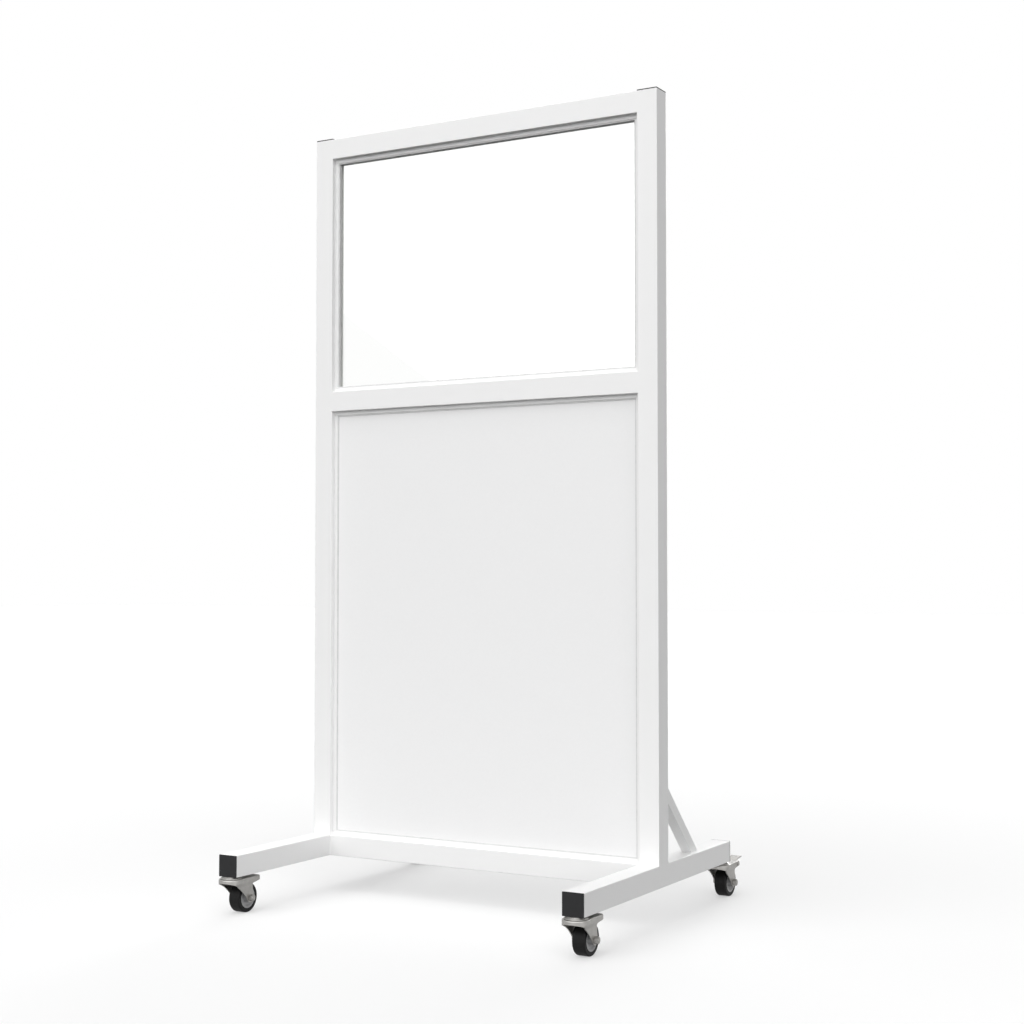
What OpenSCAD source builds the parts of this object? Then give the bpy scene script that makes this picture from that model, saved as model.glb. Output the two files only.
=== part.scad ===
// Mobile lead barrier: a welded square-tube stand on four swivel casters, with a
// lead-glass window above a lead-cored panel. Millimetres, +Z up.
// The origin is on the floor, at the centre of the footprint. The front is -Y, and left
// is -X. All casters trail to the rear, as after the stand was pushed forward.

/* [Frame] */
// Overall width over the posts
frame_w = 965.2; // [760:0.1:1400]
// Height from the underside of the legs to the top of the post caps
frame_h = 1828.8; // [1500:0.1:2100]
// Side of the square frame tube
tube = 50.8; // [48:0.1:60]
// Wall of the frame tube
tube_wall = 3; // [2:0.1:4]
// Height of the middle rail's underside above the underside of the legs
mid_rail_z = 1125; // [700:1:1300]
// Length of each leg tube
leg_len = 780; // [700:1:1000]
// Distance from the front end of the leg tube to the front of the post
leg_front = 367; // [280:1:420]
// Reach of the brace behind the post, and its height above the leg
brace_reach = 194; // [120:1:230]
// Side of the square brace tube
brace_tube = 25.4; // [20:0.1:30]
// Wall of the brace tube
brace_wall = 2; // [1.5:0.1:3]
// Thickness of the visible plate of the plastic tube caps
cap_plate = 2.5; // [1.5:0.1:4]
// Depth of the caps' inserts inside the tube
cap_insert = 12; // [6:0.5:20]
// Wall of the caps' inserts
cap_wall = 2; // [1.5:0.1:3]

/* [Window] */
// Distance from the front of the frame tube to the front of the beads
bead_reveal = 12.5; // [6:0.1:14]
// Side of the square bar bead in front of the glass, and width of the panel's flat bead
bead = 9.5; // [7:0.1:11]
// Thickness of the lead glass
glass_t = 7.5; // [4:0.1:9]
// Thickness of the gaskets in front of and behind the glass
gasket_t = 1.5; // [0.8:0.1:2]
// Width of the gasket that shows beside the bead
gasket_show = 3.2; // [1:0.1:4]
// Depth of that width's front behind the front of the bead
gasket_back = 1.5; // [0.5:0.1:2.5]
// Gap between the edge of the glass and the frame
glass_gap = 2.5; // [1.5:0.1:4]

/* [Panel] */
// Thickness of the flat bead in front of the panel
flat_bead_t = 3; // [2:0.1:4]
// Thickness of each facing board
board_t = 7.7; // [5:0.1:9]
// Thickness of the lead sheet
lead_t = 1.6; // [0.8:0.1:3.2]
// Gap between the edges of the panel and the frame
panel_gap = 1; // [0.5:0.1:2]
// Side of the rear retaining angles
angle_side = 12.7; // [12:0.1:14]
// Thickness of the rear retaining angles
angle_t = 3; // [2:0.1:3.5]
// Diameter of the angle screws
screw_d = 4; // [3:0.1:5]
// Diameter of the screw heads
screw_head_d = 7; // [6:0.1:8]
// Height of the screw heads
screw_head_h = 2.2; // [1.5:0.1:3]

/* [Caster] */
// Height from the floor to the underside of the leg
caster_h = 90; // [86:0.5:100]
// Diameter of the wheel over the tyre
wheel_d = 70; // [60:0.5:71]
// Width of the tyre
wheel_w = 30; // [24:0.1:31]
// Diameter of the plastic hub inside the tyre
hub_d = 50; // [42:0.5:52]
// Rounding of the tyre's shoulders
tyre_round = 3; // [2:0.5:6]
// Horizontal distance from the kingpin to the axle
trail = 42.5; // [40:0.5:50]
// Distance from the outer face of the leg's cap to the kingpin
kingpin_inset = 15; // [14:0.5:30]
// Radius of the fork's round swivel head
fork_r = 30; // [28:0.5:34]
// Half the width of the fork's rear part
fork_half = 28; // [27:0.5:28]
// Distance from the kingpin to the fork's rear end
fork_rear = 76; // [73:0.5:80]
// Depth of the skirt that runs round the fork, from the fork's top
fork_skirt = 8.5; // [8:0.5:11]
// Gap between the tyre and each leg of the fork
leg_gap = 5.5; // [3:0.5:6]
// Thickness of the fork's stamped sheet
fork_t = 2.5; // [2:0.1:3]
// Radius of the flared swivel collar at its lower edge
collar_r = 26; // [23:0.5:27]
// Radius of the swivel collar where it meets the leg
collar_top_r = 21.5; // [20.5:0.5:22.5]
// Height of the swivel collar
collar_h = 5.2; // [4.5:0.1:7]
// Diameter of the threaded stem
stem_d = 12; // [10:0.5:13]
// Diameter of the swivel balls
ball_d = 3.2; // [2.5:0.1:3.4]
// Number of balls in each swivel
ball_count = 16; // [8:1:20]
// Diameter of the axle bolt
axle_d = 9.5; // [8:0.1:10]
// Outer diameter of the steel bush in the hub
bush_d = 14; // [12:0.5:15]
// Width over the flats of the axle nut and bolt head
nut_af = 14.3; // [13:0.1:16]

/* [Brake] */
// Angle through which the foot pedal is pressed
brake_angle = 22; // [15:1:24]
// Distance from the kingpin to the tip of the pedal
pedal_reach = 118; // [105:1:130]
// Width of the foot pad
pedal_w = 27; // [20:0.5:30]
// Thickness of the pedal's sheet
pedal_t = 2.2; // [1.8:0.1:3]
// Diameter of the pedal's pin
pin_d = 5; // [4:0.1:5.5]
// Radius of the brake's cam lobe
lobe_r = 6; // [5:0.1:7]

/* [Hidden] */

// Colours
WHITE = "whitesmoke";
BLACK = [0.12, 0.12, 0.13];
ZINC = [0.72, 0.71, 0.68];
SEAL = [0.6, 0.6, 0.6];
BOARD = [0.93, 0.93, 0.94];

// Clearances: running fit on the radius, loose fit of screws and caps, gap between
// parts that move past each other, joint between bars that meet end to end
run_gap = 0.05;
loose_gap = 0.2;
move_gap = 0.3;
joint_gap = 0.2;
angle_inset = 0.5; // how far the rear gasket stays inside the edge of the angles
cut = 1;          // how far a cutter runs past the face that it cuts
round_fn = 96;    // facets of a round, on a display of the model
small_fn = 48;

// Openings of the frame, between the tubes
open_w = frame_w - 2 * tube;
post_top = frame_h - cap_plate;
mid_rail_top = mid_rail_z + tube;
top_rail_z = post_top - tube;
post_x = frame_w / 2 - tube / 2;

// Depths of what stands in the openings, from the front of the frame
glass_y = bead_reveal + bead + gasket_t;
window_angle_y = glass_y + glass_t + gasket_t;
board_y = bead_reveal + flat_bead_t;
lead_y = board_y + board_t;
rear_board_y = lead_y + lead_t;
panel_angle_y = rear_board_y + board_t;

// Screws in the angles: how many in each level and upright one, and where across it
window_level_screw_count = 3;
window_upright_screw_count = 3;
panel_level_screw_count = 3;
panel_upright_screw_count = 5;
screw_y = (angle_t + angle_side) / 2;
screw_bite = 3;   // how far a screw runs past the inside of the tube wall

// Caster, measured from the kingpin at the underside of the leg
axle_z = wheel_d / 2 - caster_h;
fork_top = -collar_h - move_gap;
fork_under = fork_top - fork_t;
leg_in = wheel_w / 2 + leg_gap;
leg_out = leg_in + fork_t;
skirt_low = fork_top - fork_skirt;
draw_in_z = skirt_low + 2;         // where the sides start to draw in, and where they end
legs_z = draw_in_z - 14;
axle_eye_r = 11.5;
eye_end = -145;                    // angle at which the front edge leaves the axle's eye
notch = [trail + axle_eye_r - 5, skirt_low - 7];  // between the skirt and the leg behind it
sweep = [4, notch[1]];             // corner towards which the front edge curves
fork_corner = 8;
kingpin_r = stem_d / 2 + 1;
kingpin_head_r = kingpin_r + 3;
kingpin_head_h = 3;
ball_ring_r = 17;
ball_z = -collar_h - move_gap / 2;
stem_nut_af = stem_d * 1.5;
stem_nut_h = stem_d * 0.7;
stem_end = 2;                      // how far the stem runs past its nut
nut_h = 8.3;
bolt_end = 1;                      // how far the axle bolt runs past its nut
bolt_head_h = 6;
hub_play = 0.5;                    // between the hub's boss and each leg of the fork
hub_boss_half = leg_in - hub_play;
hub_boss_r = bush_d / 2 + 3;
hub_recess = 6;
hub_rim_t = 3;

// Brake, measured from the kingpin at the underside of the leg
pin_y = fork_rear - 16;
barrel_r = pin_d / 2 + 1.7;
barrel_half = pedal_w / 2 + 4;
barrel_gap = 0.4;                  // between the barrel and the fork's top
pin_z = fork_under - barrel_gap - barrel_r;
pin_to_axle = norm([trail - pin_y, axle_z - pin_z]);
brake_gap = 0.5;                   // left between the lobe and the tyre when the pedal is down
lobe_out = pin_to_axle - wheel_d / 2 - lobe_r - brake_gap;
lobe_dir = atan2(axle_z - pin_z, trail - pin_y) + brake_angle;
lobe_half = pedal_w / 2 - 2.5;
pedal_top = fork_under - 2 * move_gap;
pedal_rise_y = fork_rear + 2;      // where the sheet starts to rise, and where its pad starts
pad_y = fork_rear + 24;
pad_tip_z = -1.6;                  // tops of the pad's tip and of its inner end
pad_z = -3.2;
pedal_slot_half = pedal_w / 2 + 2;
pin_head_r = 4;
pin_head_h = 1.5;

// Places of the kingpins, and the shift that centres the footprint on the origin
kingpin_front = -leg_front - cap_plate + kingpin_inset;
kingpin_rear = leg_len - leg_front + cap_plate - kingpin_inset;
center_y = (kingpin_front - fork_r + kingpin_rear + pedal_reach) / 2;

// Even spacing of n points over a length
function spread(n, length) = [for (i = [0:n - 1]) length * ((i + 0.5) / n - 0.5)];

// Points of an arc round a centre, from angle a to angle b
function arc(center, r, a, b, n) =
    [for (i = [0:n]) center + r * [cos(a + (b - a) * i / n), sin(a + (b - a) * i / n)]];

// Points of a curve that leaves p towards q and arrives at r
function bend(p, q, r, n) =
    [for (i = [0:n]) let (t = i / n) (1 - t) * (1 - t) * p + 2 * t * (1 - t) * q + t * t * r];

// From the post's front face and the legs' underside to the origin on the floor
module placed() {
    translate([0, -center_y, caster_h]) children();
}

// From the kingpin at the leg's underside; side is -1 left or 1 right
module at_kingpin(side, y) {
    translate([side * post_x, y, 0]) children();
}

// Lays a drawing whose axes are Y and Z across X, centred
module across(width) {
    rotate([90, 0, 90]) linear_extrude(width, center = true) children();
}

module box(low, high) {
    translate(low) cube(high - low);
}

// A square tube along Z, from z = 0
module square_tube(side, wall, length) {
    difference() {
        translate([-side / 2, -side / 2, 0]) cube([side, side, length]);
        translate([-side / 2 + wall, -side / 2 + wall, -cut])
            cube([side - 2 * wall, side - 2 * wall, length + 2 * cut]);
    }
}

// A rod along X, centred
module rod_x(r, length, fn = small_fn) {
    rotate([0, 90, 0]) cylinder(r = r, h = length, center = true, $fn = fn);
}

// A hexagon along X, from x = 0
module hex_x(af, length) {
    rotate([0, 90, 0]) cylinder(d = af / cos(30), h = length, $fn = 6);
}

// One screw along -X, its head seated on the plane x = 0
module angle_screw() {
    rotate([0, 90, 0]) cylinder(d = screw_head_d, h = screw_head_h, $fn = small_fn);
    translate([-angle_t - tube_wall - screw_bite, 0, 0]) rotate([0, 90, 0])
        cylinder(d = screw_d, h = angle_t + tube_wall + screw_bite, $fn = small_fn);
}

// One screw hole along X, through an angle and the tube wall behind it
module screw_hole() {
    rod_x(screw_d / 2 + run_gap, 2 * (angle_t + tube_wall) + 2 * cut);
}

// Every screw place of one opening: children point along -X from the left angle's face
module screw_places(z_low, z_high, y, level_count, upright_count, inset) {
    mid = (z_low + z_high) / 2;
    for (z = spread(upright_count, z_high - z_low)) {
        translate([-open_w / 2 + inset, y, mid + z]) children();
        translate([open_w / 2 - inset, y, mid + z]) rotate([0, 0, 180]) mirror([0, 1, 0]) children();
    }
    for (x = spread(level_count, open_w)) {
        translate([x, y, z_low + inset]) rotate([0, -90, 0]) children();
        translate([x, y, z_high - inset]) rotate([0, 90, 0]) children();
    }
}

module window_screw_places(inset) {
    screw_places(mid_rail_top, top_rail_z, window_angle_y + screw_y,
        window_level_screw_count, window_upright_screw_count, inset) children();
}

module panel_screw_places(inset) {
    screw_places(tube, mid_rail_z, panel_angle_y + screw_y,
        panel_level_screw_count, panel_upright_screw_count, inset) children();
}

// Holes that the angle screws leave in the frame tubes
module frame_screw_holes() {
    window_screw_places(0) screw_hole();
    panel_screw_places(0) screw_hole();
}

// Frame

module post(side) {
    color(WHITE) difference() {
        translate([side * post_x, tube / 2, tube]) square_tube(tube, tube_wall, post_top - tube);
        frame_screw_holes();
    }
}

module rail(z) {
    color(WHITE) difference() {
        translate([-open_w / 2, tube / 2, z + tube / 2]) rotate([0, 90, 0])
            square_tube(tube, tube_wall, open_w);
        frame_screw_holes();
    }
}

module leg(side) {
    color(WHITE) difference() {
        translate([side * post_x, -leg_front, tube / 2]) rotate([-90, 0, 0])
            square_tube(tube, tube_wall, leg_len);
        for (y = [kingpin_front, kingpin_rear])
            at_kingpin(side, y) translate([0, 0, -cut])
                cylinder(r = stem_d / 2 + run_gap, h = tube_wall + 2 * cut, $fn = small_fn);
    }
}

// Outline of the brace between two lines at 45 degrees, each given by its reach
module brace_outline(reach_in, reach_out) {
    polygon([[tube, tube + reach_in], [tube, tube + reach_out],
        [tube + reach_out, tube], [tube + reach_in, tube]]);
}

module brace(side) {
    slant = sqrt(2);
    color(WHITE) translate([side * post_x, 0, 0]) difference() {
        across(brace_tube) brace_outline(brace_reach - brace_tube * slant, brace_reach);
        across(brace_tube - 2 * brace_wall)
            brace_outline(brace_reach - (brace_tube - brace_wall) * slant,
                brace_reach - brace_wall * slant);
    }
}

// A cap on the end of a tube that points along +Z and ends at z = 0. The insert is open
// towards -Y, where a leg holds the nut of its caster stem.
module tube_cap() {
    insert = tube - 2 * tube_wall - 2 * loose_gap;
    color(BLACK) {
        translate([-tube / 2, -tube / 2, 0]) cube([tube, tube, cap_plate]);
        difference() {
            translate([-insert / 2, -insert / 2, -cap_insert]) cube([insert, insert, cap_insert]);
            translate([-insert / 2 + cap_wall, -insert / 2 - cut, -cap_insert - cut])
                cube([insert - 2 * cap_wall, insert - cap_wall + cut, cap_insert + cut]);
        }
    }
}

module post_cap(side) {
    translate([side * post_x, tube / 2, post_top]) tube_cap();
}

module leg_end_caps() {
    for (side = [-1, 1]) {
        translate([side * post_x, -leg_front, tube / 2]) rotate([90, 0, 0]) tube_cap();
        translate([side * post_x, leg_len - leg_front, tube / 2]) rotate([-90, 0, 0])
            mirror([0, 1, 0]) tube_cap();
    }
}

// Window

// Four bars round an opening, as far from its edge as near and far say: the level ones
// run through, and the upright ones stand between them
module four_bars(z_low, z_high, y, depth, near, far) {
    width = open_w - 2 * near;
    thick = far - near;
    for (z = [z_low + near, z_high - far])
        translate([-width / 2, y, z]) cube([width, depth, thick]);
    for (x = [-width / 2, width / 2 - thick])
        translate([x, y, z_low + far + joint_gap])
            cube([thick, depth, z_high - z_low - 2 * far - 2 * joint_gap]);
}

module window_front_bead() {
    color(WHITE) four_bars(mid_rail_top, top_rail_z, bead_reveal, bead, 0, bead);
}

module lead_glass() {
    color("aliceblue", 0.35)
        box([-open_w / 2 + glass_gap, glass_y, mid_rail_top + glass_gap],
            [open_w / 2 - glass_gap, glass_y + glass_t, top_rail_z - glass_gap]);
}

// In front of the glass the gasket is L-shaped, and shows beside the bead. Behind the
// glass it is flat.
module window_gasket() {
    color(SEAL) {
        four_bars(mid_rail_top, top_rail_z, bead_reveal + gasket_back,
            bead - gasket_back, bead, bead + gasket_show);
        four_bars(mid_rail_top, top_rail_z, bead_reveal + bead, gasket_t,
            loose_gap, bead + gasket_show);
        four_bars(mid_rail_top, top_rail_z, glass_y + glass_t, gasket_t,
            loose_gap, bead + gasket_show - angle_inset);
    }
}

// An L profile along +Z: one side lies on the plane y = 0, the other on the plane x = 0
module angle_bar(length) {
    cube([angle_side, angle_t, length]);
    cube([angle_t, angle_side, length]);
}

// Four angles round an opening, with their screw holes
module rear_angles(z_low, z_high, y) {
    upright = z_high - z_low - 2 * angle_side - 2 * joint_gap;
    translate([-open_w / 2, y, z_low]) mirror([1, 0, 0]) rotate([0, -90, 0]) angle_bar(open_w);
    translate([-open_w / 2, y, z_high]) rotate([0, 90, 0]) angle_bar(open_w);
    translate([-open_w / 2, y, z_low + angle_side + joint_gap]) angle_bar(upright);
    translate([open_w / 2, y, z_low + angle_side + joint_gap]) mirror([1, 0, 0]) angle_bar(upright);
}

module window_rear_angles() {
    color(WHITE) difference() {
        rear_angles(mid_rail_top, top_rail_z, window_angle_y);
        window_screw_places(0) screw_hole();
    }
}

module window_angle_screws() {
    color(ZINC) window_screw_places(angle_t) angle_screw();
}

// Panel

module panel_front_bead() {
    color(WHITE) four_bars(tube, mid_rail_z, bead_reveal, flat_bead_t, 0, bead);
}

module panel_gasket() {
    color(SEAL) four_bars(tube, mid_rail_z, bead_reveal + gasket_back,
        flat_bead_t - gasket_back, bead, bead + gasket_show);
}

module panel_layer(y, thickness) {
    box([-open_w / 2 + panel_gap, y, tube + panel_gap],
        [open_w / 2 - panel_gap, y + thickness, mid_rail_z - panel_gap]);
}

module front_board() {
    color(BOARD) panel_layer(board_y, board_t);
}

module lead_sheet() {
    color("slategray") panel_layer(lead_y, lead_t);
}

module rear_board() {
    color(BOARD) panel_layer(rear_board_y, board_t);
}

module panel_rear_angles() {
    color(WHITE) difference() {
        rear_angles(tube, mid_rail_z, panel_angle_y);
        panel_screw_places(0) screw_hole();
    }
}

module panel_angle_screws() {
    color(ZINC) panel_screw_places(angle_t) angle_screw();
}

// Casters: what is fixed to the legs

module each_kingpin() {
    for (side = [-1, 1])
        for (y = [kingpin_front, kingpin_rear]) at_kingpin(side, y) children();
}

module caster_stems() {
    stem_top = tube_wall + stem_nut_h + stem_end;
    color(ZINC) each_kingpin() {
        translate([0, 0, -collar_h]) cylinder(d = stem_d, h = stem_top + collar_h, $fn = small_fn);
        translate([0, 0, fork_under - move_gap])
            cylinder(r = kingpin_r, h = -collar_h - fork_under + move_gap, $fn = small_fn);
        translate([0, 0, fork_under - move_gap - kingpin_head_h])
            cylinder(r = kingpin_head_r, h = kingpin_head_h, $fn = small_fn);
    }
}

module stem_nuts() {
    color(ZINC) each_kingpin() translate([0, 0, tube_wall]) difference() {
        cylinder(d = stem_nut_af / cos(30), h = stem_nut_h, $fn = 6);
        translate([0, 0, -cut])
            cylinder(r = stem_d / 2 + run_gap, h = stem_nut_h + 2 * cut, $fn = small_fn);
    }
}

// The ring-shaped groove in which the balls run
module ball_groove() {
    translate([0, 0, ball_z]) rotate_extrude($fn = round_fn) translate([ball_ring_r, 0])
        circle(d = ball_d + 2 * run_gap, $fn = small_fn);
}

module swivel_collars() {
    color(ZINC) each_kingpin() difference() {
        translate([0, 0, -collar_h])
            cylinder(r1 = collar_r, r2 = collar_top_r, h = collar_h, $fn = round_fn);
        translate([0, 0, -collar_h - cut])
            cylinder(r = stem_d / 2 + run_gap, h = collar_h + 2 * cut, $fn = small_fn);
        ball_groove();
    }
}

// Casters: what swivels

// The fork from above, smaller by the sheet for its inside
module fork_plan(sheet) {
    rear = fork_rear - sheet;
    half = fork_half - sheet;
    corner = fork_corner - sheet;
    rotate(90) {
        circle(r = fork_r - sheet, $fn = round_fn);
        polygon(concat([[0, -half]], arc([rear - corner, corner - half], corner, -90, 0, 6),
            arc([rear - corner, half - corner], corner, 0, 90, 6), [[0, half]]));
    }
}

// The fork from the front: upright skirts that draw in to the legs beside the wheel
module fork_section(top, head, leg) {
    low = axle_z - axle_eye_r - cut;
    rotate([90, 0, 0]) linear_extrude(2 * (fork_rear + fork_r), center = true)
        polygon([[-head, top], [head, top], [head, draw_in_z], [leg, legs_z], [leg, low],
            [-leg, low], [-leg, legs_z], [-head, draw_in_z]]);
}

// The fork from the side: the front edge sweeps down to the axle's eye, and the skirt's
// lower edge meets the leg's rear edge in a notch
module fork_profile() {
    eye = [trail, axle_z];
    eye_front = eye + axle_eye_r * [cos(eye_end), sin(eye_end)];
    polygon(concat(
        [[-fork_r - cut, fork_top], [fork_rear + cut, fork_top], [fork_rear + cut, skirt_low], notch],
        arc(eye, axle_eye_r, 0, eye_end, 12),
        bend(eye_front, sweep, [-fork_r - cut, skirt_low], 10)));
}

module fork(braked) {
    color(ZINC) difference() {
        intersection() {
            translate([0, 0, axle_z - axle_eye_r - cut])
                linear_extrude(fork_top - axle_z + axle_eye_r + cut) fork_plan(0);
            fork_section(fork_top, fork_r, leg_out);
            across(2 * fork_r + cut) fork_profile();
        }
        intersection() {
            translate([0, 0, axle_z - axle_eye_r - 2 * cut])
                linear_extrude(fork_under - axle_z + axle_eye_r + 2 * cut) fork_plan(fork_t);
            fork_section(fork_under, fork_r - fork_t, leg_in);
        }
        translate([0, 0, fork_under - cut])
            cylinder(r = kingpin_r + run_gap, h = fork_t + 2 * cut, $fn = small_fn);
        ball_groove();
        translate([0, trail, axle_z]) rod_x(axle_d / 2 + run_gap, 2 * leg_out + 2 * cut);
        if (braked) {
            translate([0, pin_y, pin_z]) rod_x(pin_d / 2 + run_gap, 2 * fork_half + 2 * cut);
            box([-pedal_slot_half, fork_rear - fork_t - cut, skirt_low - cut],
                [pedal_slot_half, fork_rear + cut, fork_under]);
        }
    }
}

module swivel_balls() {
    color("silver") for (i = [0:ball_count - 1]) rotate(360 * i / ball_count)
        translate([ball_ring_r, 0, ball_z]) sphere(d = ball_d, $fn = small_fn);
}

module axle_bush() {
    color(ZINC) translate([0, trail, axle_z]) difference() {
        rod_x(bush_d / 2, 2 * leg_in);
        rod_x(axle_d / 2 + run_gap, 2 * leg_in + 2 * cut);
    }
}

module axle_bolt() {
    end = leg_out + nut_h + bolt_end;
    color(ZINC) translate([0, trail, axle_z]) {
        translate([(end - leg_out) / 2, 0, 0]) rod_x(axle_d / 2, leg_out + end);
        translate([-leg_out - bolt_head_h, 0, 0]) hex_x(nut_af, bolt_head_h);
    }
}

module axle_nut() {
    color(ZINC) translate([leg_out, trail, axle_z]) difference() {
        hex_x(nut_af, nut_h);
        rod_x(axle_d / 2 + run_gap, 2 * (nut_h + cut));
    }
}

module pedal_pin() {
    color(ZINC) translate([0, pin_y, pin_z]) {
        rod_x(pin_d / 2, 2 * fork_half + 2 * pin_head_h);
        for (side = [-1, 1])
            translate([side * (fork_half + pin_head_h / 2), 0, 0]) rod_x(pin_head_r, pin_head_h);
    }
}

// Casters: what rolls

module hub() {
    rim = hub_d / 2 - hub_rim_t;
    half = wheel_w / 2;
    color([0.45, 0.46, 0.47]) translate([0, trail, axle_z]) rotate([0, 90, 0])
        rotate_extrude($fn = round_fn)
            polygon([[bush_d / 2 + run_gap, -hub_boss_half], [hub_boss_r, -hub_boss_half],
                [hub_boss_r, hub_recess - half], [rim, hub_recess - half], [rim, -half],
                [hub_d / 2, -half], [hub_d / 2, half], [rim, half], [rim, half - hub_recess],
                [hub_boss_r, half - hub_recess], [hub_boss_r, hub_boss_half],
                [bush_d / 2 + run_gap, hub_boss_half]]);
}

module tyre() {
    side = wheel_w / 2 - tyre_round;
    shoulder = wheel_d / 2 - tyre_round;
    color([0.1, 0.1, 0.11]) translate([0, trail, axle_z]) rotate([0, 90, 0])
        rotate_extrude($fn = round_fn)
            polygon(concat([[hub_d / 2, -wheel_w / 2]],
                arc([shoulder, -side], tyre_round, -90, 0, 6),
                arc([shoulder, side], tyre_round, 0, 90, 6),
                [[hub_d / 2, wheel_w / 2]]));
}

// Brake: the pedal hangs on its pin inside the fork, and its pad stands out behind. Its
// lobe points down when the pedal is up, and swings against the tyre when it is pressed.
module brake_pedal() {
    color(ZINC) difference() {
        union() {
            across(pedal_w) polygon([[pin_y, pedal_top], [pedal_rise_y, pedal_top], [pad_y, pad_z],
                [pedal_reach, pad_tip_z], [pedal_reach, pad_tip_z - pedal_t],
                [pad_y, pad_z - pedal_t], [pedal_rise_y, pedal_top - pedal_t],
                [pin_y, pedal_top - pedal_t]]);
            translate([0, pin_y, pin_z]) rod_x(barrel_r, 2 * barrel_half);
            translate([0, pin_y + lobe_out * cos(lobe_dir), pin_z + lobe_out * sin(lobe_dir)])
                rod_x(lobe_r, 2 * lobe_half);
        }
        translate([0, pin_y, pin_z]) rod_x(pin_d / 2 + run_gap, 2 * barrel_half + 2 * cut);
    }
}

placed() post(-1);  // left_post
placed() post(1);  // right_post
placed() rail(top_rail_z);  // top_rail
placed() rail(mid_rail_z);  // middle_rail
placed() rail(0);  // bottom_rail
placed() leg(-1);  // left_leg
placed() leg(1);  // right_leg
placed() brace(-1);  // left_brace
placed() brace(1);  // right_brace
placed() post_cap(-1);  // left_post_cap
placed() post_cap(1);  // right_post_cap
placed() leg_end_caps();
placed() window_front_bead();
placed() window_gasket();
placed() lead_glass();
placed() window_rear_angles();
placed() window_angle_screws();
placed() panel_front_bead();
placed() panel_gasket();
placed() front_board();
placed() lead_sheet();
placed() rear_board();
placed() panel_rear_angles();
placed() panel_angle_screws();
placed() caster_stems();
placed() stem_nuts();
placed() swivel_collars();

placed() at_kingpin(-1, kingpin_front) fork(false);  // front_left_fork
placed() at_kingpin(-1, kingpin_front) swivel_balls();  // front_left_swivel_balls
placed() at_kingpin(-1, kingpin_front) axle_bush();  // front_left_axle_bush
placed() at_kingpin(-1, kingpin_front) axle_bolt();  // front_left_axle_bolt
placed() at_kingpin(-1, kingpin_front) axle_nut();  // front_left_axle_nut
placed() at_kingpin(-1, kingpin_front) hub();  // front_left_hub
placed() at_kingpin(-1, kingpin_front) tyre();  // front_left_tyre

placed() at_kingpin(1, kingpin_front) fork(false);  // front_right_fork
placed() at_kingpin(1, kingpin_front) swivel_balls();  // front_right_swivel_balls
placed() at_kingpin(1, kingpin_front) axle_bush();  // front_right_axle_bush
placed() at_kingpin(1, kingpin_front) axle_bolt();  // front_right_axle_bolt
placed() at_kingpin(1, kingpin_front) axle_nut();  // front_right_axle_nut
placed() at_kingpin(1, kingpin_front) hub();  // front_right_hub
placed() at_kingpin(1, kingpin_front) tyre();  // front_right_tyre

placed() at_kingpin(-1, kingpin_rear) fork(true);  // rear_left_fork
placed() at_kingpin(-1, kingpin_rear) swivel_balls();  // rear_left_swivel_balls
placed() at_kingpin(-1, kingpin_rear) axle_bush();  // rear_left_axle_bush
placed() at_kingpin(-1, kingpin_rear) axle_bolt();  // rear_left_axle_bolt
placed() at_kingpin(-1, kingpin_rear) axle_nut();  // rear_left_axle_nut
placed() at_kingpin(-1, kingpin_rear) hub();  // rear_left_hub
placed() at_kingpin(-1, kingpin_rear) tyre();  // rear_left_tyre
placed() at_kingpin(-1, kingpin_rear) pedal_pin();  // rear_left_pedal_pin
placed() at_kingpin(-1, kingpin_rear) brake_pedal();  // rear_left_brake_pedal

placed() at_kingpin(1, kingpin_rear) fork(true);  // rear_right_fork
placed() at_kingpin(1, kingpin_rear) swivel_balls();  // rear_right_swivel_balls
placed() at_kingpin(1, kingpin_rear) axle_bush();  // rear_right_axle_bush
placed() at_kingpin(1, kingpin_rear) axle_bolt();  // rear_right_axle_bolt
placed() at_kingpin(1, kingpin_rear) axle_nut();  // rear_right_axle_nut
placed() at_kingpin(1, kingpin_rear) hub();  // rear_right_hub
placed() at_kingpin(1, kingpin_rear) tyre();  // rear_right_tyre
placed() at_kingpin(1, kingpin_rear) pedal_pin();  // rear_right_pedal_pin
placed() at_kingpin(1, kingpin_rear) brake_pedal();  // rear_right_brake_pedal
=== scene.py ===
import math

import bmesh
import bpy
from mathutils import Matrix, Vector


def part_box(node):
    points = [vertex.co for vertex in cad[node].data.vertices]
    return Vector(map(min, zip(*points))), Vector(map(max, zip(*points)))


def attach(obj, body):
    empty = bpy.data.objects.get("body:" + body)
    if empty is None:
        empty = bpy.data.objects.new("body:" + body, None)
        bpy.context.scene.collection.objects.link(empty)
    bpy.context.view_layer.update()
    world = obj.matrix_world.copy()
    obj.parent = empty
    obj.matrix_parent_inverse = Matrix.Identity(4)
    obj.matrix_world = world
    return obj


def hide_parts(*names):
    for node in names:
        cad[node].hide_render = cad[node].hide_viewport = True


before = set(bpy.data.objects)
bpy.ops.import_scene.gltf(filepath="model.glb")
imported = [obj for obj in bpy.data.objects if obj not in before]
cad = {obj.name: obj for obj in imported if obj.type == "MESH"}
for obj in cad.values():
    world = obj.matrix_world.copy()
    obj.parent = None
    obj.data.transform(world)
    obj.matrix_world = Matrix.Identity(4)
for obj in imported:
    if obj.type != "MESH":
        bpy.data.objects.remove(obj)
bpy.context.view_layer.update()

MM = 0.001


# Posts, rails and legs: cold-formed 2 in square steel tube with small rounded corners. The
# rails are welded between the posts and the posts stand on the legs. Each weld is ground
# flush, so a tube's end runs on into the rounding of the tube that it meets.

def set_inputs(node, **values):
    """Sets a shader node's inputs, each named as on the node, with _ for a space."""
    for name, value in values.items():
        node.inputs[name.replace("_", " ")].default_value = value
    return node


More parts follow.
